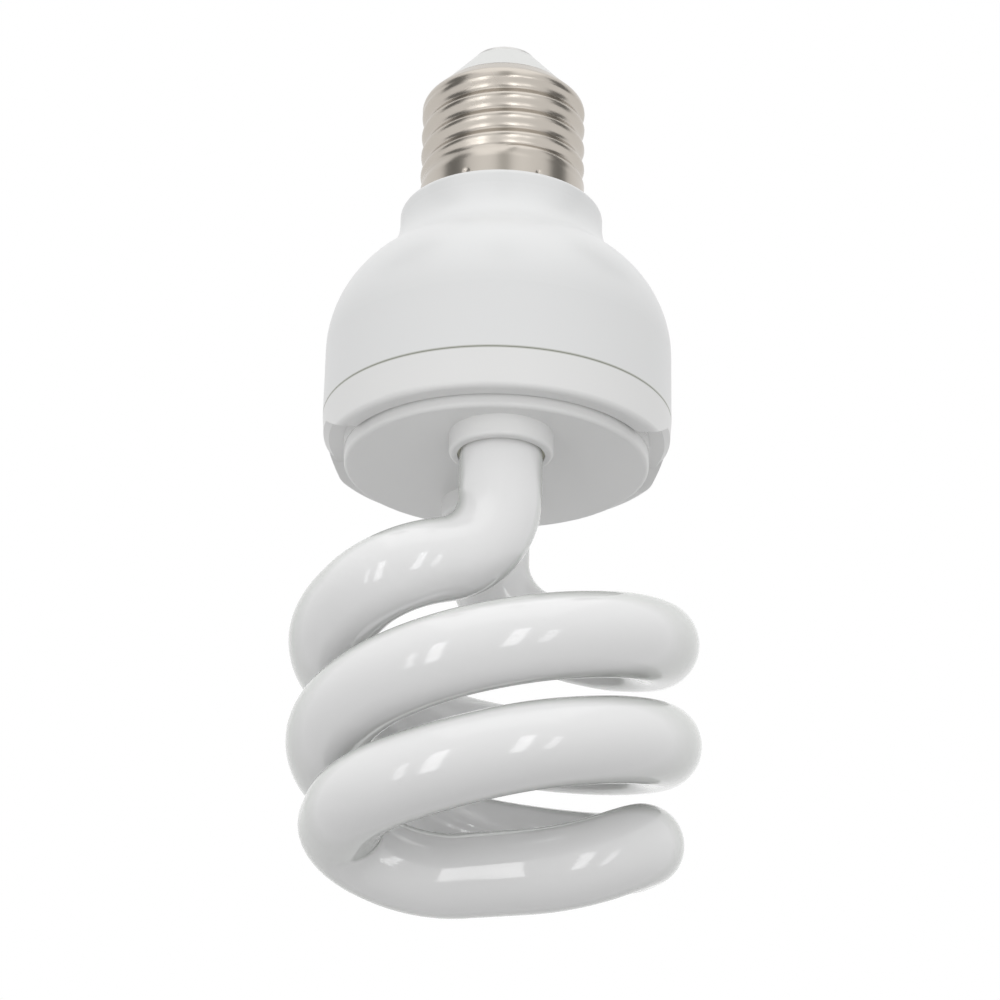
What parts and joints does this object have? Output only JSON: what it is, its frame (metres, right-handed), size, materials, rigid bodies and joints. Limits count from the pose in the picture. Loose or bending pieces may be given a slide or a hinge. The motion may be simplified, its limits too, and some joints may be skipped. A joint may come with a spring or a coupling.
{
  "type": "spiral lamp",
  "caption": "Compact fluorescent lamp with a screw cap, a rounded ballast housing and a double spiral tube hanging below it.",
  "frame": {"origin": "on the lamp's axis at the lower rim of the cap, where the edge of a lampholder meets the housing", "axes": "+Z along the lamp's axis towards the contact at the cap's tip; +X to the right in the picture, -Y towards its camera"},
  "size_m": [0.062, 0.062, 0.1447],
  "materials": {
    "nickel": "satin",
    "insulator": "gloss",
    "contact": "satin",
    "solder": "satin",
    "housing": "satin",
    "cover": "satin",
    "tube_glass": "gloss",
    "cement": "matte",
    "board": "matte",
    "tinned_wire": "satin",
    "can_sleeve": "gloss",
    "ferrite": "matte",
    "copper": "gloss",
    "bobbin": "matte",
    "black_moulding": "matte",
    "film_dip": "gloss",
    "resistor_coat": "satin",
    "diode_glass": "gloss"
  },
  "bodies": {
    "root": {"base_insulator": "insulator", "base_resistor": "resistor_coat", "bulk_capacitor": "can_sleeve", "cap_shell": "nickel", "centre_contact": "contact", "choke_bobbin": "bobbin", "choke_coil": "copper", "choke_core": "ferrite", "circuit_board": "board", "contact_solder": "solder", "dc_block_capacitor": "film_dip", "diac": "diode_glass", "emitter_resistor": "resistor_coat", "filter_drum": "ferrite", "filter_winding": "copper", "fusible_resistor": "resistor_coat", "lower_cover": "cover", "neutral_lead": "tinned_wire", "rectifier_diode_1": "black_moulding", "rectifier_diode_2": "black_moulding", "rectifier_diode_3": "black_moulding", "rectifier_diode_4": "black_moulding", "resonant_capacitor": "film_dip", "spiral_tube": "tube_glass", "start_capacitor": "film_dip", "start_resistor_1": "resistor_coat", "start_resistor_2": "resistor_coat", "toroid_core": "ferrite", "toroid_winding_1": "copper", "toroid_winding_2": "copper", "toroid_winding_3": "copper", "transistor_1": "black_moulding", "transistor_2": "black_moulding", "tube_cement_far": "cement", "tube_cement_near": "cement", "tube_lead_1": "tinned_wire", "tube_lead_2": "tinned_wire", "tube_lead_3": "tinned_wire", "tube_lead_4": "tinned_wire", "upper_housing": "housing", "wire_posts": "tinned_wire"}
  },
  "joints": []
}
